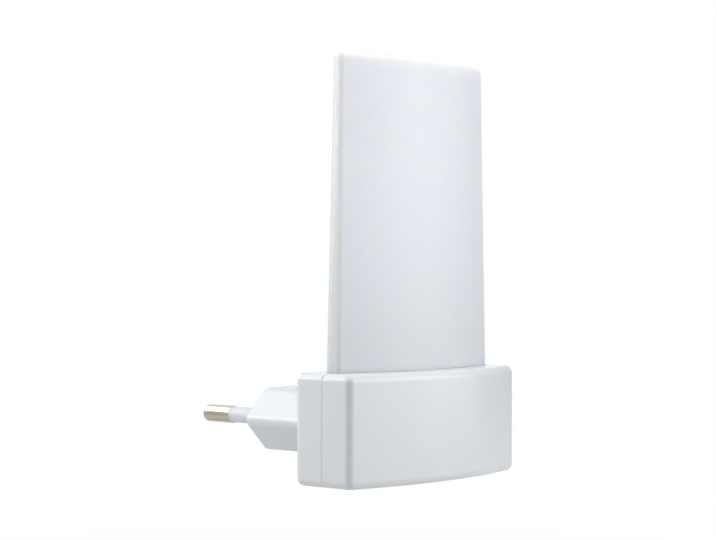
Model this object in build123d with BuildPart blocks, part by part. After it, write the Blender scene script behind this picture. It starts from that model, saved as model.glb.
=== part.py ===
from build123d import *
from math import atan2, cos, degrees, pi, radians, sin, sqrt
import os

# Plug-in LED night light: a flat opal diffuser stands on a small mains housing, and a two-pin plug is on the
# housing's back. Millimetres. The origin is midway between the pins, on the plug's end face. +Y runs along
# the pins into the socket, +Z is up, and the curved front faces -Y. Left and right are -X and +X.

os.makedirs("parts", exist_ok=True)

# ---------------------------------------------------------------- driving dimensions

# Housing: flat back, straight sides, arched front, all edges rounded
housing_width = 56.5
housing_height = 24.05
housing_bottom_z = -12.25
housing_side_depth = 15.75
housing_bulge = 4.2
housing_corner_radius = 1.7
housing_edge_radius = 1.65
housing_wall = 1.6
cavity_corner_radius = 0.6
rear_shell_depth = 8.05
parting_groove_size = 0.08
lip_depth = 1.2
lip_thickness = 0.7
lip_clearance = 0.1

# Plug boss: a hexagon with pointed left and right sides, a little lower than the pins
plug_length = 27.45
plug_width = 31.1
plug_height = 14.25
plug_middle_z = -0.35
plug_nose_radius = 1.8
plug_top_shoulder_radius = 3.5
plug_low_shoulder_radius = 2.0
plug_end_radius = 0.9
plug_wall = 1.6
plug_end_wall = 2.6
plug_hollow_radius = 1.0

# Plug pins, which lean towards each other
pin_pitch_at_face = 18.6
pin_pitch_at_tip = 17.5
pin_length = 19.0
pin_bare_length = 9.0
pin_diameter = 4.0
pin_tip_radius = 1.1
pin_core_diameter = 2.9
pin_collar_diameter = 5.2
pin_collar_length = 1.4
pin_tail_diameter = 2.6
pin_tail_length = 4.0
solder_cup_depth = 1.6
sleeve_diameter = 3.65
sleeve_head_diameter = 3.9
sleeve_head_length = 1.2
sleeve_seat_depth = 1.2
sleeve_seat_clearance = 0.1
pin_clearance = 0.05
pin_collar_gap = 0.12

# Diffuser: a hollow shell with an arched front, thinner and narrower towards its top, and a foot trapped in
# the housing
diffuser_side_margin = 2.9
diffuser_side_taper = 1.3
diffuser_front_taper = 0.3
diffuser_back_taper = 1.0
diffuser_top_z = 80.0
diffuser_step_forward = 2.05
diffuser_side_thickness = 3.95
diffuser_seat_bulge = 4.4
diffuser_top_bulge = 4.2
diffuser_corner_radius = 1.15
diffuser_top_radius = 1.0
diffuser_wall = 1.3
diffuser_cavity_margin = 1.5
diffuser_clearance = 0.12
foot_lip = 0.8
foot_thickness = 1.4
foot_clearance = 0.1

# Housing screws
screw_side_margin = 12.8
screw_bottom_margin = 4.5
screw_shaft_diameter = 2.2
screw_length = 9.5
screw_head_diameter = 3.9
screw_head_height = 1.3
screw_head_fillet = 0.4
screw_recess_depth = 3.0
screw_recess_clearance = 0.2
screw_hole_clearance = 0.1
screw_thread_clearance = 0.02
screw_boss_diameter = 6.0
screw_post_diameter = 4.6
screw_post_spare = 1.0
screw_slot_length = 2.2
screw_slot_width = 0.5
screw_slot_depth = 0.7

# Main circuit board, clamped between standoffs and pillars
board_left_gap = 1.6
board_lead_gap = 0.6
board_bottom_gap = 0.7
board_top_gap = 2.0
board_thickness = 1.2
board_standoff = 2.5
board_clamp_gap = 0.1
board_notch_clearance = 0.3
standoff_diameter = 2.4
standoff_margin_x = 1.7
standoff_margin_z = 1.7
hole_clearance = 0.1

# LED board, reflector and LEDs
led_board_drop = 4.7
led_board_thickness = 1.0
led_board_front_margin = 0.5
led_board_side_margin = 2.2
led_tab_width = 3.0
led_tab_left_margin = 2.0
led_tab_right_margin = 4.0
led_tab_reach = 0.4
led_count = 4
led_end_margin = 4.6
led_length = 3.5
led_width = 2.8
led_height = 0.8
led_lens_height = 0.1
led_lens_border = 0.4
led_window_clearance = 0.3
reflector_side_margin = 7.65
reflector_wall = 0.9
reflector_floor = 0.8
reflector_gap = 0.15
reflector_board_gap = 0.3

# Components on the main board: centres are (x, z) on the board's front face
film_cap_centre = (-5.2, -6.6)
film_cap_length = 13.0
film_cap_height = 5.0
film_cap_depth = 10.5
film_cap_edge = 0.5
film_cap_leg_pitch = 10.0
smoothing_cap_centre = (-20.4, -0.6)
smoothing_cap_diameter = 6.3
smoothing_cap_length = 9.0
smoothing_cap_leg_pitch = 2.5
smoothing_cap_groove = 0.3
smoothing_cap_groove_place = 1.4
bridge_x = -12.2
bridge_led_gap = 0.35
bridge_length = 4.7
bridge_width = 3.9
bridge_height = 2.4
bridge_foot_pitch = 2.5
bridge_foot_width = 0.6
bridge_foot_thickness = 0.3
bridge_foot_reach = 1.1
fuse_centre = (-3.4, 1.2)
fuse_length = 6.3
fuse_diameter = 2.4
fuse_leg_pitch = 9.4
fuse_lift = 0.4
bleed_centre = (4.6, -6.6)
bleed_pitch = 2.4
bleed_length = 3.2
bleed_width = 1.6
bleed_height = 0.6
leg_diameter = 0.6
leg_bend_radius = 0.8
leg_reach = 1.0

# Insulated leads
lead_diameter = 1.4
lead_cup_clearance = 0.1
lead_bend_radius = 3.0
lead_end_bend_radius = 1.9
lead_end_straight = 0.2
neutral_board_x = 4.4
neutral_board_z = 2.2
neutral_turn_y = -22.0
switched_board_margin = 1.7
live_drop_margin = 3.9
live_drop_y = -26.5
live_drop_z = -0.6
lead_start_run = 6.0
lead_cup_insertion = 1.4

# Rocker switch in the right side; u runs outwards from the housing's side face
switch_hole_width = 8.5
switch_hole_height = 13.5
switch_clearance = 0.1
bezel_flange = 0.65
bezel_thickness = 1.3
bezel_radius = 1.0
bezel_edge = 0.4
switch_depth = 9.4
switch_floor = 1.2
latch_width = 3.0
latch_height = 0.5
latch_length = 2.2
latch_gap = 0.15
switch_frame_wall = 0.65
rocker_pivot_depth = 0.9
rocker_end_gap = 0.25
rocker_side_gap = 0.2
rocker_low_u = -1.3
rocker_mid_u = 1.5
rocker_end_u = 2.45
rocker_wall = 0.9
rocker_travel = 20.0
trunnion_diameter = 1.8
trunnion_length = 0.65
trunnion_clearance = 0.05
plunger_diameter = 1.2
plunger_reach = 5.2
plunger_head_diameter = 1.7
plunger_head_length = 0.6
plunger_head_u = -2.0
plunger_bore_end_u = 0.4
plunger_boss_diameter = 3.2
plunger_boss_reach = 3.2
plunger_bore_clearance = 0.08
spring_wire = 0.2
spring_turns = 5
spring_end_gap = 0.05
lever_pivot_depth = 6.45
lever_travel = 14.0
lever_half_length = 4.3
lever_width = 2.6
lever_thickness = 0.35
lever_ear = 1.1
lever_ear_clearance = 0.15
lever_gap = 0.1
contact_diameter = 1.8
contact_height = 0.35
contact_place = 3.4
contact_gap = 0.1
terminal_thickness = 0.6
terminal_width = 2.4
terminal_clearance = 0.05
terminal_edge = 0.25
terminal_tab_length = 4.4
terminal_hole_diameter = 1.2

# ---------------------------------------------------------------- planes and shared outlines


def plane_at_x(x):
    """Plane facing +X; its own x and y are the model's Y and Z."""
    return Plane.YZ.offset(x)


def plane_at_y(y):
    """Plane facing -Y; its own x and y are the model's X and Z."""
    return Plane.XZ.offset(-y)


def plane_at_z(z):
    """Plane facing +Z; its own x and y are the model's X and Y."""
    return Plane.XY.offset(z)


def arc_radius(half_width, bulge):
    """Radius of the arc through both ends of a chord, standing out by the bulge."""
    return (half_width**2 + bulge**2) / (2 * bulge)


def sagitta(radius, half_width):
    """How far an arc stands out from a chord of that half width."""
    return radius - sqrt(radius**2 - half_width**2)


def bulged_outline(half_width, back_y, apex_y, front_radius, corner_radius=0):
    """Plan outline with a flat back, straight sides and an arched front."""
    side_y = apex_y + sagitta(front_radius, half_width)
    with BuildSketch() as outline:
        with BuildLine():
            Polyline((-half_width, side_y), (-half_width, back_y), (half_width, back_y), (half_width, side_y))
            ThreePointArc((half_width, side_y), (0, apex_y), (-half_width, side_y))
        make_face()
        if corner_radius:
            fillet(outline.vertices(), corner_radius)
    return outline.sketch


def diffuser_hollow_outline(width, back_y, apex_y, bulge):
    """Outline of the diffuser's hollow where the outside has that width, back, apex and bulge."""
    return bulged_outline(
        width / 2 - diffuser_cavity_margin,
        back_y - diffuser_wall,
        apex_y + diffuser_wall,
        arc_radius(width / 2, bulge),
    )


def plug_outline(inset, nose_radius, top_radius, low_radius):
    """Hexagon of the plug boss, set in all round by the inset."""
    nose_setback = plug_nose_radius * (sqrt(2) - 1)
    half_height = plug_height / 2 - inset
    nose_x = plug_width / 2 + nose_setback - inset * sqrt(2)
    shoulder_x = nose_x - half_height
    with BuildSketch() as outline:
        with BuildLine():
            Polyline(
                (nose_x, 0),
                (shoulder_x, half_height),
                (-shoulder_x, half_height),
                (-nose_x, 0),
                (-shoulder_x, -half_height),
                (shoulder_x, -half_height),
                close=True,
            )
        make_face()
        fillet(outline.vertices().filter_by(lambda v: abs(v.Y) < half_height / 2), nose_radius)
        fillet(outline.vertices().filter_by(lambda v: v.Y > half_height / 2), top_radius)
        fillet(outline.vertices().filter_by(lambda v: v.Y < -half_height / 2), low_radius)
    return outline.sketch


# ---------------------------------------------------------------- places worked out from the dimensions

housing_back_y = -plug_length
parting_y = housing_back_y - rear_shell_depth
housing_apex_y = housing_back_y - housing_side_depth - housing_bulge
housing_front_radius = arc_radius(housing_width / 2, housing_bulge)
housing_top_z = housing_bottom_z + housing_height
housing_middle_z = housing_bottom_z + housing_height / 2
cavity_back_y = housing_back_y - housing_wall
cavity_apex_y = housing_apex_y + housing_wall
cavity_half_width = housing_width / 2 - housing_wall
cavity_top_z = housing_top_z - housing_wall
cavity_bottom_z = housing_bottom_z + housing_wall
cavity_height = cavity_top_z - cavity_bottom_z

diffuser_side_y = parting_y - diffuser_step_forward
diffuser_back_y = diffuser_side_y + diffuser_side_thickness
diffuser_apex_y = diffuser_side_y - diffuser_seat_bulge
diffuser_seat_width = housing_width - 2 * diffuser_side_margin
diffuser_seat_front_radius = arc_radius(diffuser_seat_width / 2, diffuser_seat_bulge)
diffuser_top_width = diffuser_seat_width - 2 * diffuser_side_taper
diffuser_top_back_y = diffuser_back_y - diffuser_back_taper
diffuser_top_apex_y = diffuser_side_y + diffuser_front_taper - diffuser_top_bulge
diffuser_top_front_radius = arc_radius(diffuser_top_width / 2, diffuser_top_bulge)
foot_top_z = cavity_top_z - foot_clearance
foot_bottom_z = foot_top_z - foot_thickness

side_x = housing_width / 2
switch_back_x = side_x - switch_depth
terminal_tip_x = switch_back_x - terminal_tab_length
switch_y = parting_y
switch_z = housing_middle_z

live_drop_x = plug_width / 2 - live_drop_margin

board_left_x = board_left_gap - cavity_half_width
board_right_x = live_drop_x - lead_diameter / 2 - board_lead_gap
board_bottom_z = cavity_bottom_z + board_bottom_gap
board_top_z = cavity_top_z - board_top_gap
board_back_y = cavity_back_y - board_standoff
board_front_y = board_back_y - board_thickness

screw_x = side_x - screw_side_margin
screw_z = housing_bottom_z + screw_bottom_margin
screw_head_y = housing_back_y - screw_recess_depth
screw_end_y = screw_head_y - screw_length

reflector_width = diffuser_seat_width - 2 * reflector_side_margin
led_board_width = reflector_width - 2 * led_board_side_margin
led_board_z = foot_bottom_z - led_board_drop
led_board_top_z = led_board_z + led_board_thickness
led_pitch = (led_board_width - 2 * led_end_margin) / (led_count - 1)
led_y = (diffuser_back_y + diffuser_apex_y) / 2

pin_lean = degrees(atan2((pin_pitch_at_face - pin_pitch_at_tip) / 2, pin_length))


def pin_plane(side, distance):
    """Plane across a pin's axis, that far out of the plug's end face; side is -1 for left, +1 for right."""
    along = Vector(-side * sin(radians(pin_lean)), cos(radians(pin_lean)), 0)
    foot = Vector(side * pin_pitch_at_face / 2, 0, 0)
    return Plane(origin=foot + along * distance, x_dir=(0, 0, 1), z_dir=along)


# ---------------------------------------------------------------- bodies and cutters shared by the two shells

with BuildPart() as housing_body:
    with BuildSketch(plane_at_z(housing_bottom_z)):
        add(
            bulged_outline(
                housing_width / 2, housing_back_y, housing_apex_y, housing_front_radius, housing_corner_radius
            )
        )
    extrude(amount=housing_height)
    rims = housing_body.faces().sort_by(Axis.Z)
    fillet(rims[0].edges() + rims[-1].edges(), housing_edge_radius)

with BuildPart() as housing_cavity:
    with BuildSketch(plane_at_z(cavity_bottom_z)):
        add(
            bulged_outline(
                cavity_half_width, cavity_back_y, cavity_apex_y, housing_front_radius, cavity_corner_radius
            )
        )
    extrude(amount=cavity_height)

with BuildPart() as diffuser_opening:
    with BuildSketch(plane_at_z(foot_bottom_z)):
        add(
            bulged_outline(
                diffuser_seat_width / 2 + diffuser_clearance,
                diffuser_back_y + diffuser_clearance,
                diffuser_apex_y - diffuser_clearance,
                diffuser_seat_front_radius,
                diffuser_corner_radius + diffuser_clearance,
            )
        )
    extrude(amount=housing_height)

with BuildPart() as switch_opening:
    with BuildSketch(plane_at_x(switch_back_x)):
        with Locations((switch_y, switch_z)):
            Rectangle(switch_hole_width, switch_hole_height)
    extrude(amount=housing_width)

with BuildPart() as parting_groove:
    with BuildSketch(plane_at_y(parting_y + parting_groove_size)):
        with Locations((0, housing_middle_z)):
            Rectangle(housing_width + parting_groove_size, housing_height + parting_groove_size)
            RectangleRounded(
                housing_width - 2 * parting_groove_size,
                housing_height - 2 * parting_groove_size,
                housing_edge_radius - parting_groove_size,
                mode=Mode.SUBTRACT,
            )
    extrude(amount=2 * parting_groove_size)

screw_places = [(-screw_x, screw_z), (screw_x, screw_z)]
clamp_left_x = board_left_x + standoff_margin_x
clamp_right_x = board_right_x - standoff_margin_x
clamp_low_z = board_bottom_z + standoff_margin_z
clamp_high_z = board_top_z - standoff_margin_z
pillar_places = [(clamp_left_x, clamp_low_z), (clamp_left_x, clamp_high_z), (clamp_right_x, clamp_low_z)]
standoff_places = pillar_places + [(clamp_right_x, clamp_high_z)]

# ---------------------------------------------------------------- rear housing, with the plug boss

with BuildPart() as rear_housing:
    add(housing_body.part)
    add(housing_cavity.part, mode=Mode.SUBTRACT)
    split(bisect_by=plane_at_y(parting_y), keep=Keep.BOTTOM)
    # plug boss
    with BuildSketch(plane_at_y(0)):
        with Locations((0, plug_middle_z)):
            add(plug_outline(0, plug_nose_radius, plug_top_shoulder_radius, plug_low_shoulder_radius))
    extrude(amount=plug_length + housing_wall / 2)
    fillet(rear_housing.faces().sort_by(Axis.Y)[-1].edges(), plug_end_radius)
    with BuildSketch(plane_at_y(-plug_end_wall)):
        with Locations((0, plug_middle_z)):
            add(plug_outline(plug_wall, plug_hollow_radius, plug_hollow_radius, plug_hollow_radius))
    extrude(amount=plug_length - plug_end_wall + housing_wall, mode=Mode.SUBTRACT)
    # pin holes, each with a seat for the sleeve's foot
    for side in (-1, 1):
        with BuildSketch(pin_plane(side, -plug_end_wall - pin_collar_length)):
            Circle(pin_core_diameter / 2 + pin_clearance)
        extrude(amount=pin_length, mode=Mode.SUBTRACT)
        with BuildSketch(pin_plane(side, -sleeve_seat_depth)):
            Circle(sleeve_diameter / 2 + sleeve_seat_clearance)
        extrude(amount=pin_length, mode=Mode.SUBTRACT)
    # screw bosses with a deep recess for each head
    with BuildSketch(plane_at_y(cavity_back_y + housing_wall / 2)):
        with Locations(*screw_places):
            Circle(screw_boss_diameter / 2)
    extrude(amount=rear_shell_depth - housing_wall / 2)
    with BuildSketch(plane_at_y(housing_back_y)):
        with Locations(*screw_places):
            Circle(screw_head_diameter / 2 + screw_recess_clearance)
    extrude(amount=screw_recess_depth, mode=Mode.SUBTRACT)
    with BuildSketch(plane_at_y(housing_back_y)):
        with Locations(*screw_places):
            Circle(screw_shaft_diameter / 2 + screw_hole_clearance)
    extrude(amount=rear_shell_depth, mode=Mode.SUBTRACT)
    # standoffs that the board rests on
    with BuildSketch(plane_at_y(cavity_back_y)):
        with Locations(*standoff_places):
            Circle(standoff_diameter / 2)
    extrude(amount=board_standoff)
    # rebate that the front shell's lip fits in
    with BuildSketch(plane_at_y(parting_y + lip_depth + lip_clearance)):
        with Locations((0, housing_middle_z)):
            Rectangle(
                2 * (cavity_half_width + lip_thickness + lip_clearance),
                cavity_height + 2 * (lip_thickness + lip_clearance),
            )
            Rectangle(
                2 * (cavity_half_width - lip_clearance),
                cavity_height - 2 * lip_clearance,
                mode=Mode.SUBTRACT,
            )
    extrude(amount=lip_depth + lip_clearance, mode=Mode.SUBTRACT)
    add(diffuser_opening.part, mode=Mode.SUBTRACT)
    add(switch_opening.part, mode=Mode.SUBTRACT)
    add(parting_groove.part, mode=Mode.SUBTRACT)
rear_housing.part.label = "rear_housing"
export_step(rear_housing.part, "parts/rear_housing.step")

# ---------------------------------------------------------------- front housing

with BuildPart() as front_housing:
    add(housing_body.part)
    add(housing_cavity.part, mode=Mode.SUBTRACT)
    split(bisect_by=plane_at_y(parting_y), keep=Keep.TOP)
    # lip round the cavity's mouth
    with BuildSketch(plane_at_y(parting_y + lip_depth)):
        with Locations((0, housing_middle_z)):
            Rectangle(2 * (cavity_half_width + lip_thickness), cavity_height + 2 * lip_thickness)
            Rectangle(2 * cavity_half_width, cavity_height, mode=Mode.SUBTRACT)
    extrude(amount=2 * lip_depth)
    # posts for the screws and pillars that press on the board
    with BuildSketch(plane_at_y(parting_y)):
        with Locations(*screw_places):
            Circle(screw_post_diameter / 2)
    extrude(until=Until.NEXT, target=front_housing.part)
    with BuildSketch(plane_at_y(board_front_y - board_clamp_gap)):
        with Locations(*pillar_places):
            Circle(standoff_diameter / 2)
    extrude(until=Until.LAST, target=front_housing.part)
    with BuildSketch(plane_at_y(parting_y)):
        with Locations(*screw_places):
            Circle(screw_shaft_diameter / 2 + screw_thread_clearance)
    extrude(amount=parting_y - screw_end_y + screw_post_spare, mode=Mode.SUBTRACT)
    add(diffuser_opening.part, mode=Mode.SUBTRACT)
    add(switch_opening.part, mode=Mode.SUBTRACT)
    add(parting_groove.part, mode=Mode.SUBTRACT)
front_housing.part.label = "front_housing"
export_step(front_housing.part, "parts/front_housing.step")

# ---------------------------------------------------------------- diffuser, with its foot

seat_hollow = diffuser_hollow_outline(
    diffuser_seat_width, diffuser_back_y, diffuser_apex_y, diffuser_seat_bulge
)
top_hollow = diffuser_hollow_outline(
    diffuser_top_width, diffuser_top_back_y, diffuser_top_apex_y, diffuser_top_bulge
)
with BuildPart() as diffuser:
    seat_outline = bulged_outline(
        diffuser_seat_width / 2,
        diffuser_back_y,
        diffuser_apex_y,
        diffuser_seat_front_radius,
        diffuser_corner_radius,
    )
    with BuildSketch(plane_at_z(foot_bottom_z)):
        add(seat_outline)
    extrude(amount=housing_top_z - foot_bottom_z)
    with BuildSketch(plane_at_z(housing_top_z)):
        add(seat_outline)
    with BuildSketch(plane_at_z(diffuser_top_z)):
        add(
            bulged_outline(
                diffuser_top_width / 2,
                diffuser_top_back_y,
                diffuser_top_apex_y,
                diffuser_top_front_radius,
                diffuser_corner_radius,
            )
        )
    loft()
    fillet(diffuser.faces().sort_by(Axis.Z)[-1].edges(), diffuser_top_radius)
    with BuildSketch(plane_at_z(foot_bottom_z)):
        add(
            bulged_outline(
                diffuser_seat_width / 2 + foot_lip,
                diffuser_back_y + foot_lip,
                diffuser_apex_y - foot_lip,
                diffuser_seat_front_radius,
                diffuser_corner_radius,
            )
        )
    extrude(amount=foot_thickness)
    # hollow, open at the foot
    with BuildSketch(plane_at_z(foot_bottom_z)):
        add(seat_hollow)
    extrude(amount=housing_top_z - foot_bottom_z, mode=Mode.SUBTRACT)
    with BuildSketch(plane_at_z(housing_top_z)):
        add(seat_hollow)
    with BuildSketch(plane_at_z(diffuser_top_z - diffuser_wall)):
        add(top_hollow)
    loft(mode=Mode.SUBTRACT)
diffuser.part.label = "diffuser"
export_step(diffuser.part, "parts/diffuser.step")

# ---------------------------------------------------------------- plug pins and their sleeves

collar_start = -plug_end_wall - pin_collar_gap - pin_collar_length
for side, side_name in ((-1, "left"), (1, "right")):
    tail_start = collar_start - pin_tail_length
    with BuildPart() as plug_pin:
        with BuildSketch(pin_plane(side, tail_start)):
            Circle(pin_tail_diameter / 2)
        extrude(amount=pin_tail_length)
        with BuildSketch(pin_plane(side, tail_start)):
            Circle(lead_diameter / 2 + lead_cup_clearance)
        extrude(amount=solder_cup_depth, mode=Mode.SUBTRACT)
        with BuildSketch(pin_plane(side, collar_start)):
            Circle(pin_collar_diameter / 2)
        extrude(amount=pin_collar_length)
        with BuildSketch(pin_plane(side, collar_start)):
            Circle(pin_core_diameter / 2)
        extrude(amount=pin_length - pin_bare_length - collar_start)
        with BuildSketch(pin_plane(side, pin_length - pin_bare_length)):
            Circle(pin_diameter / 2)
        extrude(amount=pin_bare_length)
        fillet(plug_pin.edges().sort_by(Axis.Y)[-1], pin_tip_radius)
    plug_pin.part.label = "plug_pin_" + side_name
    export_step(plug_pin.part, "parts/plug_pin_" + side_name + ".step")

    with BuildPart() as pin_sleeve:
        with BuildSketch(pin_plane(side, -sleeve_seat_depth)):
            Circle(sleeve_diameter / 2)
        extrude(amount=sleeve_seat_depth + pin_length - pin_bare_length)
        # the sleeve flares towards the bare metal
        with BuildSketch(pin_plane(side, pin_length - pin_bare_length - sleeve_head_length)):
            Circle(sleeve_diameter / 2)
        with BuildSketch(pin_plane(side, pin_length - pin_bare_length)):
            Circle(sleeve_head_diameter / 2)
        loft()
        with BuildSketch(pin_plane(side, -sleeve_seat_depth)):
            Circle(pin_core_diameter / 2 + pin_clearance)
        extrude(amount=pin_length, mode=Mode.SUBTRACT)
    pin_sleeve.part.label = "pin_sleeve_" + side_name
    export_step(pin_sleeve.part, "parts/pin_sleeve_" + side_name + ".step")

# ---------------------------------------------------------------- housing screws, entered from the back

with BuildPart() as housing_screws:
    with BuildSketch(plane_at_y(screw_head_y + screw_head_height)):
        with Locations(*screw_places):
            Circle(screw_head_diameter / 2)
    extrude(amount=screw_head_height)
    head_rims = housing_screws.edges().filter_by(GeomType.CIRCLE).group_by(Axis.Y)[-1]
    fillet(head_rims, screw_head_fillet)
    with BuildSketch(plane_at_y(screw_head_y)):
        with Locations(*screw_places):
            Circle(screw_shaft_diameter / 2)
    extrude(amount=screw_length)
    with BuildSketch(plane_at_y(screw_head_y + screw_head_height)):
        with Locations(*screw_places):
            Rectangle(screw_slot_length, screw_slot_width)
            Rectangle(screw_slot_width, screw_slot_length)
    extrude(amount=screw_slot_depth, mode=Mode.SUBTRACT)
housing_screws.part.label = "housing_screws"
export_step(housing_screws.part, "parts/housing_screws.step")

# ---------------------------------------------------------------- main circuit board

film_cap_legs = [(film_cap_centre[0] + k * film_cap_leg_pitch / 2, film_cap_centre[1]) for k in (-1, 1)]
smoothing_cap_legs = [
    (smoothing_cap_centre[0] + k * smoothing_cap_leg_pitch / 2, smoothing_cap_centre[1]) for k in (-1, 1)
]
fuse_legs = [(fuse_centre[0] + k * fuse_leg_pitch / 2, fuse_centre[1]) for k in (-1, 1)]
led_tab_places = [
    (tab_x, led_board_z + led_board_thickness / 2)
    for tab_x in (led_tab_left_margin - led_board_width / 2, board_right_x - led_tab_right_margin)
]
board_notch_right_x = -screw_x + screw_boss_diameter / 2 + board_notch_clearance
board_notch_left_x = -screw_x - screw_boss_diameter / 2 - board_notch_clearance
board_notch_top_z = screw_z + screw_boss_diameter / 2 + board_notch_clearance

with BuildPart() as main_board:
    with BuildSketch(plane_at_y(board_back_y)):
        with BuildLine():
            Polyline(
                (board_left_x, board_bottom_z),
                (board_notch_left_x, board_bottom_z),
                (board_notch_left_x, board_notch_top_z),
                (board_notch_right_x, board_notch_top_z),
                (board_notch_right_x, board_bottom_z),
                (board_right_x, board_bottom_z),
                (board_right_x, board_top_z),
                (board_left_x, board_top_z),
                close=True,
            )
        make_face()
        with Locations(*film_cap_legs, *smoothing_cap_legs, *fuse_legs):
            Circle(leg_diameter / 2 + hole_clearance, mode=Mode.SUBTRACT)
        with Locations(*led_tab_places):
            Rectangle(
                led_tab_width + 2 * hole_clearance,
                led_board_thickness + 2 * hole_clearance,
                mode=Mode.SUBTRACT,
            )
    extrude(amount=board_thickness)
main_board.part.label = "main_board"
export_step(main_board.part, "parts/main_board.step")

# ---------------------------------------------------------------- LED board, LEDs and reflector

led_board_front_y = diffuser_apex_y + led_board_front_margin
led_board_depth = board_front_y - led_board_front_y
led_places = [((k - (led_count - 1) / 2) * led_pitch, led_y) for k in range(led_count)]

with BuildPart() as led_board:
    with BuildSketch(plane_at_z(led_board_z)):
        with Locations((0, board_front_y)):
            Rectangle(led_board_width, led_board_depth, align=(Align.CENTER, Align.MAX))
        with Locations(*[(x, board_front_y) for x, z in led_tab_places]):
            Rectangle(led_tab_width, board_thickness + led_tab_reach, align=(Align.CENTER, Align.MIN))
    extrude(amount=led_board_thickness)
led_board.part.label = "led_board"
export_step(led_board.part, "parts/led_board.step")

with BuildPart() as led_packages:
    with BuildSketch(plane_at_z(led_board_top_z)):
        with Locations(*led_places):
            Rectangle(led_length, led_width)
    extrude(amount=led_height)
    with BuildSketch(plane_at_z(led_board_top_z + led_height)):
        with Locations(*led_places):
            Rectangle(led_length - 2 * led_lens_border, led_width - 2 * led_lens_border)
    extrude(amount=-led_lens_height, mode=Mode.SUBTRACT)
led_packages.part.label = "led_packages"
export_step(led_packages.part, "parts/led_packages.step")

with BuildPart() as led_lenses:
    with BuildSketch(plane_at_z(led_board_top_z + led_height)):
        with Locations(*led_places):
            Rectangle(led_length - 2 * led_lens_border, led_width - 2 * led_lens_border)
    extrude(amount=-led_lens_height)
led_lenses.part.label = "led_lenses"
export_step(led_lenses.part, "parts/led_lenses.step")

with BuildPart() as reflector:
    reflector_back_y = min(diffuser_back_y, board_front_y - reflector_board_gap)
    reflector_half = reflector_width / 2
    with BuildSketch(plane_at_z(led_board_top_z)):
        add(
            bulged_outline(
                reflector_half,
                reflector_back_y,
                diffuser_apex_y,
                diffuser_seat_front_radius,
            )
        )
    extrude(amount=foot_bottom_z - reflector_gap - led_board_top_z)
    with BuildSketch(plane_at_z(led_board_top_z + reflector_floor)):
        add(
            bulged_outline(
                reflector_half - reflector_wall,
                reflector_back_y - reflector_wall,
                diffuser_apex_y + reflector_wall,
                diffuser_seat_front_radius,
            )
        )
    extrude(amount=foot_bottom_z - led_board_top_z, mode=Mode.SUBTRACT)
    with BuildSketch(plane_at_z(led_board_top_z)):
        with Locations(*led_places):
            Rectangle(led_length + 2 * led_window_clearance, led_width + 2 * led_window_clearance)
    extrude(amount=reflector_floor, mode=Mode.SUBTRACT)
reflector.part.label = "reflector"
export_step(reflector.part, "parts/reflector.step")

# ---------------------------------------------------------------- components on the main board

board_leg_end_y = board_back_y + leg_reach

with BuildPart() as film_capacitor:
    with BuildSketch(plane_at_y(board_front_y)):
        with Locations(film_cap_centre):
            Rectangle(film_cap_length, film_cap_height)
    extrude(amount=film_cap_depth)
    chamfer(film_capacitor.edges().filter_by(Axis.Y), film_cap_edge)
    with BuildSketch(plane_at_y(board_leg_end_y)):
        with Locations(*film_cap_legs):
            Circle(leg_diameter / 2)
    extrude(amount=board_leg_end_y - board_front_y)
film_capacitor.part.label = "film_capacitor"
export_step(film_capacitor.part, "parts/film_capacitor.step")

with BuildPart() as smoothing_capacitor:
    with BuildSketch(plane_at_y(board_front_y)):
        with Locations(smoothing_cap_centre):
            Circle(smoothing_cap_diameter / 2)
    extrude(amount=smoothing_cap_length)
    with BuildSketch(plane_at_y(board_front_y - smoothing_cap_groove_place)):
        with Locations(smoothing_cap_centre):
            Circle(smoothing_cap_diameter / 2)
            Circle(smoothing_cap_diameter / 2 - smoothing_cap_groove, mode=Mode.SUBTRACT)
    extrude(amount=smoothing_cap_groove, mode=Mode.SUBTRACT)
    with BuildSketch(plane_at_y(board_leg_end_y)):
        with Locations(*smoothing_cap_legs):
            Circle(leg_diameter / 2)
    extrude(amount=board_leg_end_y - board_front_y)
smoothing_capacitor.part.label = "smoothing_capacitor"
export_step(smoothing_capacitor.part, "parts/smoothing_capacitor.step")

bridge_centre = (bridge_x, led_board_z - bridge_led_gap - bridge_foot_reach - bridge_width / 2)
with BuildPart() as bridge_rectifier:
    with BuildSketch(plane_at_y(board_front_y - bridge_foot_thickness)):
        with Locations(bridge_centre):
            Rectangle(bridge_length, bridge_width)
    extrude(amount=bridge_height)
    with BuildSketch(plane_at_y(board_front_y)):
        with Locations(bridge_centre):
            with GridLocations(bridge_foot_pitch, 0, 2, 1):
                Rectangle(bridge_foot_width, bridge_width + 2 * bridge_foot_reach)
    extrude(amount=bridge_foot_thickness)
bridge_rectifier.part.label = "bridge_rectifier"
export_step(bridge_rectifier.part, "parts/bridge_rectifier.step")

fuse_axis_y = board_front_y - fuse_lift - fuse_diameter / 2
with BuildPart() as fusible_resistor:
    with BuildLine():
        FilletPolyline(
            (fuse_legs[0][0], board_leg_end_y, fuse_centre[1]),
            (fuse_legs[0][0], fuse_axis_y, fuse_centre[1]),
            (fuse_legs[1][0], fuse_axis_y, fuse_centre[1]),
            (fuse_legs[1][0], board_leg_end_y, fuse_centre[1]),
            radius=leg_bend_radius,
        )
    with BuildSketch(plane_at_y(board_leg_end_y)):
        with Locations(fuse_legs[0]):
            Circle(leg_diameter / 2)
    sweep()
    with BuildSketch(plane_at_x(fuse_centre[0] - fuse_length / 2)):
        with Locations((fuse_axis_y, fuse_centre[1])):
            Circle(fuse_diameter / 2)
    extrude(amount=fuse_length)
fusible_resistor.part.label = "fusible_resistor"
export_step(fusible_resistor.part, "parts/fusible_resistor.step")

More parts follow.
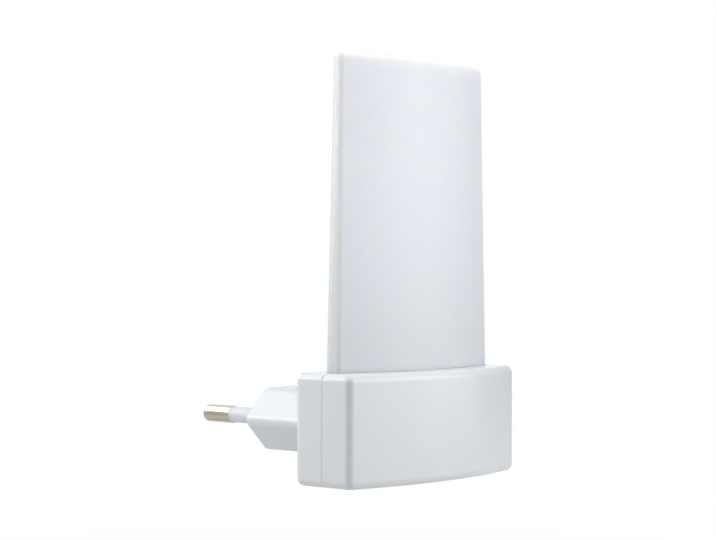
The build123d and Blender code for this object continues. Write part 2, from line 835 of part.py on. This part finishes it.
with BuildPart() as bleed_resistors:
    with BuildSketch(plane_at_y(board_front_y)):
        with Locations(bleed_centre):
            with GridLocations(bleed_pitch, 0, 2, 1):
                Rectangle(bleed_width, bleed_length)
    extrude(amount=bleed_height)
bleed_resistors.part.label = "bleed_resistors"
export_step(bleed_resistors.part, "parts/bleed_resistors.step")

# ---------------------------------------------------------------- rocker switch in the right side


def switch_plane(depth, tilt, y):
    """Plane facing -Y, that deep in the side face and level with the switch; its x turns up with the tilt."""
    return Plane(
        origin=(side_x - depth, y, switch_z),
        x_dir=(cos(radians(tilt)), 0, sin(radians(tilt))),
        z_dir=(0, -1, 0),
    )


rocker_tilt = -rocker_travel / 2
lever_tilt = lever_travel / 2
frame_width = switch_hole_width - 2 * switch_clearance
frame_height = switch_hole_height - 2 * switch_clearance
rocker_space_width = frame_width - 2 * switch_frame_wall
rocker_space_height = frame_height - 2 * switch_frame_wall
rocker_width = rocker_space_width - 2 * rocker_side_gap
rocker_near_y = switch_y + rocker_width / 2
rocker_swing_radius = rocker_space_height / 2 - rocker_end_gap
rocker_pivot = switch_plane(rocker_pivot_depth, rocker_tilt, switch_y)
trunnion_span = rocker_width + 2 * trunnion_length
lever_drop = lever_pivot_depth + contact_place * sin(radians(lever_tilt))
lever_contact_reach = (lever_thickness / 2 + contact_height) * cos(radians(lever_tilt))
contact_swing = contact_diameter / 2 * sin(radians(lever_tilt))
fixed_contact_x = side_x - lever_drop - lever_contact_reach - contact_swing - contact_gap
centre_terminal_x = side_x - lever_pivot_depth - lever_thickness / 2 - lever_gap
end_terminal_x = fixed_contact_x - contact_height
end_terminal_z = switch_z - contact_place

with BuildPart() as switch_frame:
    with BuildSketch(plane_at_x(switch_back_x)):
        with Locations((switch_y, switch_z)):
            Rectangle(frame_width, frame_height)
    extrude(amount=switch_depth)
    with BuildSketch(plane_at_x(side_x)):
        with Locations((switch_y, switch_z)):
            RectangleRounded(
                switch_hole_width + 2 * bezel_flange, switch_hole_height + 2 * bezel_flange, bezel_radius
            )
    extrude(amount=bezel_thickness)
    fillet(switch_frame.faces().sort_by(Axis.X)[-1].edges(), bezel_edge)
    # latches that catch behind the housing wall, above and below
    with BuildSketch(switch_plane(housing_wall + latch_gap, 0, switch_y + latch_width / 2)):
        for up in (-1, 1):
            with BuildLine():
                Polyline(
                    (0, up * (frame_height / 2 - latch_height)),
                    (0, up * (frame_height / 2 + latch_height)),
                    (-latch_length, up * frame_height / 2),
                    (-latch_length, up * (frame_height / 2 - latch_height)),
                    close=True,
                )
            make_face()
    extrude(amount=latch_width)
    with BuildSketch(plane_at_x(switch_back_x + switch_floor)):
        with Locations((switch_y, switch_z)):
            Rectangle(rocker_space_width, rocker_space_height)
    extrude(amount=switch_depth + bezel_thickness, mode=Mode.SUBTRACT)
    # bearing holes for the rocker's trunnions
    with BuildSketch(switch_plane(rocker_pivot_depth, 0, switch_y + frame_width / 2)):
        Circle(trunnion_diameter / 2 + trunnion_clearance)
    extrude(amount=frame_width, mode=Mode.SUBTRACT)
    # slots for the terminals
    with BuildSketch(plane_at_x(switch_back_x)):
        with Locations((switch_y, switch_z), (switch_y, end_terminal_z)):
            Rectangle(terminal_width + 2 * terminal_clearance, terminal_thickness + 2 * terminal_clearance)
    extrude(amount=switch_floor, mode=Mode.SUBTRACT)
switch_frame.part.label = "switch_frame"
export_step(switch_frame.part, "parts/switch_frame.step")

with BuildPart() as switch_rocker:
    for inset, action in ((0, Mode.ADD), (rocker_wall, Mode.SUBTRACT)):
        with BuildSketch(switch_plane(rocker_pivot_depth, rocker_tilt, rocker_near_y - inset)):
            Circle(rocker_swing_radius - inset)
            with BuildLine():
                Polyline(
                    (rocker_low_u, -rocker_swing_radius),
                    (rocker_end_u - inset, -rocker_swing_radius),
                    (rocker_mid_u - inset, 0),
                    (rocker_end_u - inset, rocker_swing_radius),
                    (rocker_low_u, rocker_swing_radius),
                    close=True,
                )
            make_face(mode=Mode.INTERSECT)
        extrude(amount=rocker_width - 2 * inset, mode=action)
    # trunnions on both sides
    with BuildSketch(switch_plane(rocker_pivot_depth, rocker_tilt, switch_y + trunnion_span / 2)):
        Circle(trunnion_diameter / 2)
    extrude(amount=trunnion_span)
    # tube that guides the plunger
    rocker_axis = Plane(origin=rocker_pivot.origin, x_dir=(0, 1, 0), z_dir=-rocker_pivot.x_dir)
    with BuildSketch(rocker_axis.offset(-rocker_mid_u + rocker_wall / 2)):
        Circle(plunger_boss_diameter / 2)
    extrude(amount=plunger_boss_reach + rocker_mid_u - rocker_wall / 2)
    with BuildSketch(rocker_axis.offset(-plunger_bore_end_u)):
        Circle(plunger_head_diameter / 2 + plunger_bore_clearance)
    extrude(amount=plunger_boss_reach + plunger_bore_end_u, mode=Mode.SUBTRACT)
switch_rocker.part.label = "switch_rocker"
export_step(switch_rocker.part, "parts/switch_rocker.step")

with BuildPart() as switch_plunger:
    with BuildSketch(rocker_axis.offset(-plunger_head_u)):
        Circle(plunger_head_diameter / 2)
    extrude(amount=plunger_head_length)
    with BuildSketch(rocker_axis.offset(-plunger_head_u)):
        Circle(plunger_diameter / 2)
    extrude(amount=plunger_reach + plunger_head_u)
    fillet(switch_plunger.edges().sort_by(Axis.X)[0], plunger_diameter / 2 - spring_end_gap)
switch_plunger.part.label = "switch_plunger"
export_step(switch_plunger.part, "parts/switch_plunger.step")

spring_radius = plunger_head_diameter / 2 - spring_wire / 2
spring_start = rocker_axis.offset(-plunger_bore_end_u + spring_end_gap + spring_wire / 2)
spring_height = plunger_bore_end_u - plunger_head_u - 2 * spring_end_gap - spring_wire
with BuildPart() as switch_spring:
    with BuildLine() as spring_line:
        Helix(
            pitch=spring_height / spring_turns,
            height=spring_height,
            radius=spring_radius,
            center=spring_start.origin,
            direction=spring_start.z_dir,
        )
    with BuildSketch(Plane(origin=spring_line.line @ 0, z_dir=spring_line.line % 0)):
        Circle(spring_wire / 2)
    sweep(is_frenet=True)
switch_spring.part.label = "switch_spring"
export_step(switch_spring.part, "parts/switch_spring.step")

with BuildPart() as contact_lever:
    ear_inner_y = terminal_width / 2 + lever_ear_clearance
    lever_span = 2 * (ear_inner_y + lever_thickness)
    with BuildSketch(switch_plane(lever_pivot_depth, lever_tilt, switch_y + lever_width / 2)):
        Rectangle(lever_thickness, 2 * lever_half_length)
    extrude(amount=lever_width)
    # ears that straddle the centre terminal
    with BuildSketch(switch_plane(lever_pivot_depth, lever_tilt, switch_y + lever_span / 2)):
        with Locations((lever_thickness / 2, 0)):
            Rectangle(lever_thickness + lever_ear, lever_ear, align=(Align.MAX, Align.CENTER))
    extrude(amount=lever_span)
    with BuildSketch(switch_plane(lever_pivot_depth, lever_tilt, switch_y + ear_inner_y)):
        with Locations((-lever_thickness / 2, 0)):
            Rectangle(lever_ear, lever_ear, align=(Align.MAX, Align.CENTER))
    extrude(amount=2 * ear_inner_y, mode=Mode.SUBTRACT)
    lever_middle = switch_plane(lever_pivot_depth, lever_tilt, switch_y)
    contact_origin = lever_middle.from_local_coords((0, -contact_place, 0))
    lever_face = Plane(origin=contact_origin, x_dir=(0, 1, 0), z_dir=-lever_middle.x_dir)
    with BuildSketch(lever_face):
        Circle(contact_diameter / 2)
    extrude(amount=lever_thickness / 2 + contact_height)
contact_lever.part.label = "contact_lever"
export_step(contact_lever.part, "parts/contact_lever.step")

with BuildPart() as centre_terminal:
    with BuildSketch(plane_at_x(terminal_tip_x)):
        with Locations((switch_y, switch_z)):
            Rectangle(terminal_width, terminal_thickness)
    extrude(amount=centre_terminal_x - terminal_tip_x)
    fillet(centre_terminal.faces().sort_by(Axis.X)[-1].edges().filter_by(Axis.Y), terminal_edge)
    with BuildSketch(plane_at_z(switch_z - terminal_thickness / 2)):
        with Locations((terminal_tip_x + terminal_tab_length / 2, switch_y)):
            Circle(terminal_hole_diameter / 2)
    extrude(amount=terminal_thickness, mode=Mode.SUBTRACT)
centre_terminal.part.label = "centre_terminal"
export_step(centre_terminal.part, "parts/centre_terminal.step")

with BuildPart() as end_terminal:
    with BuildSketch(plane_at_x(terminal_tip_x)):
        with Locations((switch_y, end_terminal_z)):
            Rectangle(terminal_width, terminal_thickness)
    extrude(amount=end_terminal_x - terminal_tip_x)
    with BuildSketch(plane_at_x(end_terminal_x)):
        with Locations((switch_y, end_terminal_z)):
            Circle(contact_diameter / 2)
    extrude(amount=contact_height)
    with BuildSketch(plane_at_z(end_terminal_z - terminal_thickness / 2)):
        with Locations((terminal_tip_x + terminal_tab_length / 2, switch_y)):
            Circle(terminal_hole_diameter / 2)
    extrude(amount=terminal_thickness, mode=Mode.SUBTRACT)
end_terminal.part.label = "end_terminal"
export_step(end_terminal.part, "parts/end_terminal.step")

# ---------------------------------------------------------------- insulated leads inside the housing

switched_board_x = board_right_x - switched_board_margin
switched_bend_radius = min(lead_end_bend_radius, board_front_y - parting_y - lead_end_straight)
cup_points = {
    side: pin_plane(side, collar_start - pin_tail_length + lead_cup_insertion).origin for side in (-1, 1)
}
lead_routes = {
    "lead_live": (
        [
            cup_points[-1],
            cup_points[-1] - Vector(0, lead_start_run, 0),
            Vector(live_drop_x, live_drop_y, live_drop_z),
            Vector(live_drop_x, parting_y, switch_z),
            Vector(terminal_tip_x, parting_y, switch_z),
        ],
        [lead_bend_radius, lead_bend_radius, lead_end_bend_radius],
    ),
    "lead_neutral": (
        [
            cup_points[1],
            cup_points[1] - Vector(0, lead_start_run, 0),
            Vector(neutral_board_x, neutral_turn_y, neutral_board_z),
            Vector(neutral_board_x, board_back_y, neutral_board_z),
        ],
        [lead_bend_radius, lead_bend_radius],
    ),
    "lead_switched": (
        [
            Vector(terminal_tip_x, parting_y, end_terminal_z),
            Vector(switched_board_x, parting_y, end_terminal_z),
            Vector(switched_board_x, board_front_y, end_terminal_z),
        ],
        [switched_bend_radius],
    ),
}
for lead_name, (route, radii) in lead_routes.items():
    with BuildPart() as lead:
        with BuildLine() as lead_line:
            FilletPolyline(*route, radius=radii)
        with BuildSketch(Plane(origin=lead_line.line @ 0, z_dir=lead_line.line % 0)):
            Circle(lead_diameter / 2)
        sweep()
    lead_length = sum(edge.length for edge in lead_line.edges())
    share = lead.part.volume / (lead_length * lead_diameter**2 / 4 * pi)
    print(lead_name, "length", round(lead_length, 1), "volume against section times length", round(share, 4))
    lead.part.label = lead_name
    export_step(lead.part, "parts/" + lead_name + ".step")
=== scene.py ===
import bpy
from math import cos, pi, radians, sin
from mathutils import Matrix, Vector


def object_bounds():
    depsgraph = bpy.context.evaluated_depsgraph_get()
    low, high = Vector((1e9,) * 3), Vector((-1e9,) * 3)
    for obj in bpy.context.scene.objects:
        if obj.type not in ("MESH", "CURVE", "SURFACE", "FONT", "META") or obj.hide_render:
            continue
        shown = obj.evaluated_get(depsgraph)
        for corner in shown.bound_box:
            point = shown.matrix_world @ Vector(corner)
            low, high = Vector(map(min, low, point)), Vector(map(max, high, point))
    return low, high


# Looks for the plug-in night light: every material is procedural, and the shapes are the packed
# model's own. Metres, in the model's frame: +Y runs out of the plug's pins, +Z is up, and the
# curved front faces -Y.

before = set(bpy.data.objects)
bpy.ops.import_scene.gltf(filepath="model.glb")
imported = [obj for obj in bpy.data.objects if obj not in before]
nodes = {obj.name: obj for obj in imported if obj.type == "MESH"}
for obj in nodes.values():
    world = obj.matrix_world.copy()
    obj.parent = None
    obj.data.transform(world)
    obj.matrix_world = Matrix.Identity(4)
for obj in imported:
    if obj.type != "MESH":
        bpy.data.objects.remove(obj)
cad_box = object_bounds()
MM = 0.001

# ---------------------------------------------------------------- camera

CAMERA_PLACE = Vector((-327.99, -310.83, 33.65)) * MM
CAMERA_HEADING = -48.5
CAMERA_LENS = 97.36
SENSOR_WIDTH = 36.0


def make_camera():
    """Level camera at the housing's height, in front and to the left."""
    data = bpy.data.cameras.new("camera")
    data.sensor_width = SENSOR_WIDTH
    data.lens = CAMERA_LENS
    data.clip_start = 0.01
    data.clip_end = 20
    camera = bpy.data.objects.new("camera", data)
    bpy.context.scene.collection.objects.link(camera)
    camera.location = CAMERA_PLACE
    camera.rotation_euler = (radians(90), 0, radians(CAMERA_HEADING))
    bpy.context.scene.camera = camera


# ---------------------------------------------------------------- node helpers


def new_nodes(name):
    """An empty material and its node tree."""
    material = bpy.data.materials.new(name)
    material.use_nodes = True
    tree = material.node_tree
    tree.nodes.clear()
    return material, tree


def add_node(tree, kind, inputs=None, **settings):
    """A node with its settings and input values; an input that is a socket gets linked."""
    node = tree.nodes.new(kind)
    for key, value in settings.items():
        setattr(node, key, value)
    for key, value in (inputs or {}).items():
        if isinstance(value, bpy.types.NodeSocket):
            tree.links.new(value, node.inputs[key])
        else:
            node.inputs[key].default_value = value
    return node


def maths(tree, operation, first, second=0.0):
    """One operation on two values."""
    return add_node(tree, "ShaderNodeMath", {0: first, 1: second}, operation=operation).outputs[0]


def noise(tree, scale, detail=2.0, roughness=0.5, stretch=(1, 1, 1)):
    """Noise in the model's own coordinates; the scale is in features per metre."""
    place = add_node(tree, "ShaderNodeTexCoord").outputs["Object"]
    if stretch != (1, 1, 1):
        mapping = add_node(tree, "ShaderNodeMapping", {"Vector": place, "Scale": stretch})
        place = mapping.outputs["Vector"]
    inputs = {"Vector": place, "Scale": scale, "Detail": detail, "Roughness": roughness}
    return add_node(tree, "ShaderNodeTexNoise", inputs).outputs["Fac"]


def spread(tree, value, low, high, from_low=0.3, from_high=0.7):
    """The value, mapped onto a range; a noise's values lie mostly between 0.3 and 0.7."""
    source = {"Value": value, "From Min": from_low, "From Max": from_high}
    target = {"To Min": low, "To Max": high}
    return add_node(tree, "ShaderNodeMapRange", source | target, clamp=True).outputs["Result"]


# The Mix node has one set of sockets for values and one for colours, which share their names, so
# they are taken by number: 0 is the factor, 2 and 3 are values, and 6 and 7 are colours.


def blend_values(tree, factor, first, second):
    return add_node(tree, "ShaderNodeMix", {0: factor, 2: first, 3: second}).outputs[0]


def blend_colours(tree, factor, first, second):
    inputs = {0: factor, 6: first, 7: second}
    return add_node(tree, "ShaderNodeMix", inputs, data_type="RGBA").outputs[2]


def blend_shaders(tree, factor, first, second):
    return add_node(tree, "ShaderNodeMixShader", {0: factor, 1: first, 2: second}).outputs[0]


def tinted(colour, share):
    """The colour, a share brighter or darker."""
    return (*(channel * (1 + share) for channel in colour), 1.0)


def grey(tone):
    return (tone, tone, tone, 1.0)


def mottled(tree, factor, colour, darker, brighter):
    """The colour, wandering between a darker and a brighter share of itself."""
    return blend_colours(tree, factor, tinted(colour, -darker), tinted(colour, brighter))


def bump(tree, height, strength, distance):
    inputs = {"Height": height, "Strength": strength, "Distance": distance}
    return add_node(tree, "ShaderNodeBump", inputs).outputs["Normal"]


def close_tree(tree, kind, socket, shader):
    """Gives the tree its output node, fed by the shader."""
    add_node(tree, kind, {socket: shader})


def finish_material(material, tree, **inputs):
    """Closes the material with one Principled shader; underscores in names stand for spaces."""
    sockets = {name.replace("_", " "): value for name, value in inputs.items()}
    shader = add_node(tree, "ShaderNodeBsdfPrincipled", sockets)
    close_tree(tree, "ShaderNodeOutputMaterial", "Surface", shader.outputs["BSDF"])
    return material


# ---------------------------------------------------------------- materials

# Scales are in features per metre, as noise() takes them.
FLOW_SCALE = 45
POLISH_SCALE = 90
SPARK_GRAIN_SCALE = 2600
SPARK_GRAIN_DEPTH = 0.02 * MM
CLOUD_SCALE = 30
OPAL_GRAIN_SCALE = 1800
OPAL_POLISH_SCALE = 300
STAIN_SCALE = 180
RING_SCALE = 900
RING_STRETCH = (0.04, 1.0, 0.04)
RING_DEPTH = 0.01 * MM
SPECK_SCALE = 700
WEAVE_SCALE = 1400
WEAVE_STRETCH = (1, 1, 0.3)
DRAG_SCALE = 500
DRAG_STRETCH = (1, 0.1, 1)
SOFT_GRAIN_DEPTH = 0.03 * MM

WHITE_PLASTIC = (0.695, 0.73, 0.755)
OPAL_PLASTIC = (0.955, 0.98, 0.999)
# Painted shade: the diffuser's colour darkens towards its foot, up to the clear height.
OPAL_FOOT_Z = 9 * MM
OPAL_CLEAR_Z = 64 * MM
OPAL_PAINTED_FOOT_SHADE = -0.28
# Painted shade: the colour given to the diffuser's rear side edges.
OPAL_PAINTED_EDGE_SHADE = (0.45, 0.495, 0.545)
OPAL_DEPTH = 3.4 * MM
OPAL_COLOUR_DEPTHS = (1.0, 0.86, 0.6)


def moulded_plastic(name, colour, roughness, grain=0.06, mottle=0.012, subsurface=0.0):
    """Moulded plastic: faint flow mottling, a fine spark-eroded grain and uneven gloss."""
    material, tree = new_nodes(name)
    flow = noise(tree, FLOW_SCALE, detail=3)
    fine = noise(tree, SPARK_GRAIN_SCALE, detail=3, roughness=0.6)
    polish = noise(tree, POLISH_SCALE, detail=1)
    low, high = roughness - 0.02, roughness + 0.02
    return finish_material(
        material,
        tree,
        Base_Color=mottled(tree, flow, colour, mottle, mottle),
        Roughness=spread(tree, polish, low, high, from_low=0.2, from_high=0.8),
        Normal=bump(tree, fine, grain, SPARK_GRAIN_DEPTH),
        Subsurface_Weight=subsurface,
        Subsurface_Radius=(1.0, 1.0, 1.1),
        Subsurface_Scale=0.6 * MM,
    )


def opal_plastic():
    """Milky polycarbonate that light sinks into, with painted shade at its foot and rear edges.
    """
    material, tree = new_nodes("opal_plastic")
    place = add_node(tree, "ShaderNodeTexCoord").outputs
    height = add_node(tree, "ShaderNodeSeparateXYZ", {"Vector": place["Object"]}).outputs["Z"]
    facing = add_node(tree, "ShaderNodeSeparateXYZ", {"Vector": place["Normal"]}).outputs
    sideways = maths(tree, "ABSOLUTE", facing["X"])
    rearwards = spread(tree, facing["Y"], 0, 1, from_low=-0.5, from_high=0.5)
    # Painted shade on the rear side edges: strongest where the surface faces both sideways and
    # back.
    rear_edge_shade_mask = maths(tree, "MULTIPLY", sideways, rearwards)
    shade = spread(tree, rear_edge_shade_mask, 0, 1, from_low=0.3, from_high=0.9)
    # Painted shade towards the foot: the colour is darker low down and clears higher up.
    rise = spread(tree, height, 0, 1, from_low=OPAL_FOOT_Z, from_high=OPAL_CLEAR_Z)
    body = mottled(tree, noise(tree, CLOUD_SCALE), OPAL_PLASTIC, 0.015, 0.0)
    with_painted_foot_shade = blend_colours(tree, rise, tinted(OPAL_PLASTIC, OPAL_PAINTED_FOOT_SHADE), body)
    return finish_material(
        material,
        tree,
        Base_Color=blend_colours(tree, shade, with_painted_foot_shade, tinted(OPAL_PAINTED_EDGE_SHADE, 0)),
        Roughness=spread(tree, noise(tree, OPAL_POLISH_SCALE), 0.36, 0.42),
        Normal=bump(tree, noise(tree, OPAL_GRAIN_SCALE), 0.04, SPARK_GRAIN_DEPTH),
        Specular_IOR_Level=0.4,
        Subsurface_Weight=1.0,
        Subsurface_Radius=OPAL_COLOUR_DEPTHS,
        Subsurface_Scale=OPAL_DEPTH,
    )


def turned_metal(name, colour, roughness, grain=0.12):
    """Plated or bare metal with fine rings along its length and slightly uneven polish."""
    material, tree = new_nodes(name)
    rings = noise(tree, RING_SCALE, detail=4, stretch=RING_STRETCH)
    stains = noise(tree, STAIN_SCALE, detail=3)
    return finish_material(
        material,
        tree,
        Base_Color=mottled(tree, stains, colour, 0.05, 0.05),
        Metallic=1.0,
        Roughness=spread(tree, stains, roughness - 0.04, roughness + 0.05),
        Normal=bump(tree, rings, grain, RING_DEPTH),
    )


def board_laminate(name, colour):
    """Laminate under solder mask: a faint weave and darker specks."""
    material, tree = new_nodes(name)
    weave = noise(tree, WEAVE_SCALE, stretch=WEAVE_STRETCH)
    specks = noise(tree, SPECK_SCALE, detail=4)
    return finish_material(
        material,
        tree,
        Base_Color=mottled(tree, specks, colour, 0.12, 0.08),
        Roughness=spread(tree, specks, 0.42, 0.56),
        Normal=bump(tree, weave, 0.15, SOFT_GRAIN_DEPTH),
    )


def insulated_lead(name, colour):
    """Soft PVC: satin, with long faint drag marks."""
    material, tree = new_nodes(name)
    drag = noise(tree, DRAG_SCALE, detail=3, stretch=DRAG_STRETCH)
    return finish_material(
        material,
        tree,
        Base_Color=mottled(tree, drag, colour, 0.08, 0.08),
        Roughness=spread(tree, drag, 0.38, 0.5),
        Normal=bump(tree, drag, 0.1, SOFT_GRAIN_DEPTH),
    )


def make_materials():
    """Each CAD node's own material."""
    housing = moulded_plastic("housing_plastic", WHITE_PLASTIC, 0.22, subsurface=0.15)
    switch = moulded_plastic("switch_plastic", (0.79, 0.80, 0.81), 0.26, grain=0.04)
    sleeve = moulded_plastic("sleeve_plastic", (0.65, 0.67, 0.695), 0.45)
    phosphor = moulded_plastic("led_phosphor", (0.90, 0.70, 0.16), 0.35, mottle=0.05)
    film_case = moulded_plastic("film_capacitor_case", (0.72, 0.48, 0.08), 0.4, mottle=0.04)
    shrink = moulded_plastic("capacitor_sleeve", (0.03, 0.035, 0.06), 0.3, mottle=0.1)
    epoxy = moulded_plastic("rectifier_epoxy", (0.025, 0.025, 0.026), 0.5, mottle=0.1)
    coating = moulded_plastic("resistor_body", (0.30, 0.42, 0.50), 0.5, grain=0.2, mottle=0.05)
    nickel = turned_metal("pin_nickel", (0.575, 0.525, 0.43), 0.21, grain=0.03)
    brass = turned_metal("contact_brass", (0.78, 0.60, 0.30), 0.28)
    return {
        "rear_housing": housing,
        "front_housing": housing,
        "diffuser": opal_plastic(),
        "plug_pin_left": nickel,
        "plug_pin_right": nickel,
        "pin_sleeve_left": sleeve,
        "pin_sleeve_right": sleeve,
        "housing_screws": turned_metal("screw_steel", (0.60, 0.60, 0.62), 0.32),
        "main_board": board_laminate("board_laminate", (0.50, 0.40, 0.20)),
        "led_board": board_laminate("led_board_white", (0.80, 0.81, 0.79)),
        "led_packages": moulded_plastic("led_body", (0.85, 0.85, 0.83), 0.3),
        "led_lenses": phosphor,
        "reflector": moulded_plastic("reflector_white", (0.86, 0.86, 0.85), 0.25),
        "film_capacitor": film_case,
        "smoothing_capacitor": shrink,
        "bridge_rectifier": epoxy,
        "fusible_resistor": coating,
        "bleed_resistors": moulded_plastic("chip_resistor", (0.03, 0.03, 0.03), 0.3, mottle=0.1),
        "lead_live": insulated_lead("lead_brown", (0.20, 0.085, 0.035)),
        "lead_neutral": insulated_lead("lead_blue", (0.03, 0.11, 0.42)),
        "lead_switched": insulated_lead("lead_black", (0.025, 0.025, 0.025)),
        "switch_frame": switch,
        "switch_rocker": switch,
        "switch_plunger": moulded_plastic("plunger_plastic", (0.74, 0.71, 0.60), 0.4),
        "switch_spring": turned_metal("spring_steel", (0.58, 0.58, 0.58), 0.25),
        "contact_lever": brass,
        "centre_terminal": brass,
        "end_terminal": brass,
    }


def dress_nodes():
    for name, material in make_materials().items():
        slots = nodes[name].data.materials
        slots.clear()
        slots.append(material)


# ---------------------------------------------------------------- studio

FLOOR_DROP = 45 * MM
FLOOR_REACH = 3.0
PAPER_TONE = 0.70
AMBIENT = 0.02
LAMP_DISTANCE = 0.8
CARD_DISTANCE = 0.7
BLACK_CARD_TONE = 0.02
GREY_CARD_TONE = 0.5
WHITE = grey(1)

# The floor's tones, and the distances from under the object that they run between. Seen directly,
# it keeps the shadow and fades to white; in reflections its glow is darker close by, a painted
# shadow, and far out, a painted dimming.
SHOWN_WHITE = {"low": 0.8, "high": 1.0, "from_low": 0.08, "from_high": 0.25}
MIRRORED_PAINTED_SHADOW = {"low": 0.4, "high": 0.85, "from_low": 0.04, "from_high": 0.10}
MIRRORED_PAINTED_DIMMING = {"low": 0.85, "high": 0.52, "from_low": 0.10, "from_high": 0.30}


def seen_rays(tree):
    """1 for rays that show the background: from the camera, or by way of gloss or glass."""
    path = add_node(tree, "ShaderNodeLightPath").outputs
    seen_or_mirrored = maths(tree, "MAXIMUM", path["Is Camera Ray"], path["Is Glossy Ray"])
    return maths(tree, "MAXIMUM", seen_or_mirrored, path["Is Transmission Ray"])


def make_world():
    """White where it is seen, and dim as a light."""
    world = bpy.data.worlds.new("studio")
    world.use_nodes = True
    bpy.context.scene.world = world
    tree = world.node_tree
    tree.nodes.clear()
    strength = spread(tree, seen_rays(tree), AMBIENT, 1, from_low=0, from_high=1)
    background = add_node(tree, "ShaderNodeBackground", {"Color": WHITE, "Strength": strength})
    close_tree(tree, "ShaderNodeOutputWorld", "Surface", background.outputs["Background"])


def make_floor():
    """White floor under the hanging light; from below it can be seen through."""
    bpy.ops.mesh.primitive_circle_add(vertices=96, radius=FLOOR_REACH, fill_type="NGON")
    floor = bpy.context.object
    floor.name = "floor"
    floor.location = (0, 0, cad_box[0].z - FLOOR_DROP)
    material, tree = new_nodes("floor_paper")
    paper = add_node(tree, "ShaderNodeBsdfDiffuse", {"Color": grey(PAPER_TONE)}).outputs[0]
    place = add_node(tree, "ShaderNodeTexCoord").outputs["Object"]
    away = add_node(tree, "ShaderNodeVectorMath", {0: place}, operation="LENGTH").outputs["Value"]
    # Painted shade: in reflections the floor's glow is dimmed close under the object and far out.
    painted_near_shadow = spread(tree, away, **MIRRORED_PAINTED_SHADOW)
    mirrored_painted_shade = maths(tree, "MINIMUM", painted_near_shadow, spread(tree, away, **MIRRORED_PAINTED_DIMMING))
    bounced = add_node(tree, "ShaderNodeLightPath").outputs["Is Glossy Ray"]
    strength = blend_values(tree, bounced, 1.0, mirrored_painted_shade)
    glow = add_node(tree, "ShaderNodeEmission", {"Color": WHITE, "Strength": strength}).outputs[0]
    whole = maths(tree, "MAXIMUM", spread(tree, away, **SHOWN_WHITE), bounced)
    share = maths(tree, "MULTIPLY", seen_rays(tree), whole)
    lit = blend_shaders(tree, share, paper, glow)
    clear = add_node(tree, "ShaderNodeBsdfTransparent").outputs[0]
    below = add_node(tree, "ShaderNodeNewGeometry").outputs["Backfacing"]
    sided = blend_shaders(tree, below, lit, clear)
    close_tree(tree, "ShaderNodeOutputMaterial", "Surface", sided)
    floor.data.materials.append(material)


def direction(azimuth, elevation=0.0):
    """Unit vector; azimuth 0 points along -Y and 90 along +X, in degrees."""
    turn, rise = radians(azimuth), radians(elevation)
    return Vector((sin(turn) * cos(rise), -cos(turn) * cos(rise), sin(rise)))


def face_object(item, towards, distance):
    """Puts a lamp or a card at that distance from the object's middle, turned to face it."""
    item.location = (cad_box[0] + cad_box[1]) / 2 + towards * distance
    item.rotation_euler = towards.to_track_quat("Z", "Y").to_euler()


def softbox(name, towards, width, height, radiance):
    """Area lamp that faces the object's middle."""
    data = bpy.data.lights.new(name, "AREA")
    data.shape = "RECTANGLE"
    data.size = width
    data.size_y = height
    data.energy = radiance * pi * width * height
    lamp = bpy.data.objects.new(name, data)
    bpy.context.scene.collection.objects.link(lamp)
    face_object(lamp, towards, LAMP_DISTANCE)


def flag(name, towards, width, height, tone=BLACK_CARD_TONE, distance=CARD_DISTANCE):
    """Dark card that only reflections see: it keeps the object's edges dark against white."""
    bpy.ops.mesh.primitive_plane_add(size=1)
    card = bpy.context.object
    card.name = name
    card.scale = (width, height, 1)
    face_object(card, towards, distance)
    card.visible_camera = False
    card.visible_diffuse = False
    card.visible_transmission = False
    card.visible_shadow = False
    material, tree = new_nodes(name)
    cloth = add_node(tree, "ShaderNodeBsdfDiffuse", {"Color": grey(tone)}).outputs[0]
    close_tree(tree, "ShaderNodeOutputMaterial", "Surface", cloth)
    card.data.materials.append(material)


def make_studio():
    """World, floor, lamps and dark cards; the lamps and cards are width by height."""
    make_world()
    make_floor()
    softbox("left_softbox", direction(-142, 12), 0.50, 0.64, radiance=5.0)
    softbox("back_softbox", direction(-165, 31), 0.50, 0.60, radiance=1.7)
    softbox("right_softbox", direction(24, 13), 0.60, 0.60, radiance=2.6)
    softbox("right_strip", direction(50, 8), 0.30, 0.65, radiance=1.6)
    softbox("camera_softbox", direction(CAMERA_HEADING, 65), 0.60, 0.60, radiance=1.05)
    softbox("top_softbox", Vector((-0.1, -0.35, 1)).normalized(), 0.80, 0.80, radiance=2.3)
    flag("camera_flag", direction(CAMERA_HEADING, -6), 0.80, 0.50, distance=0.75)
    flag("left_flag", direction(-131.5, -1), 0.90, 0.48, tone=GREY_CARD_TONE)
    flag("right_flag", direction(86), 0.68, 0.80)
    flag("right_back_flag", direction(131, -16), 0.48, 0.36)


# ---------------------------------------------------------------- scene

make_camera()
dress_nodes()
make_studio()
bpy.context.scene.view_settings.view_transform = "Standard"
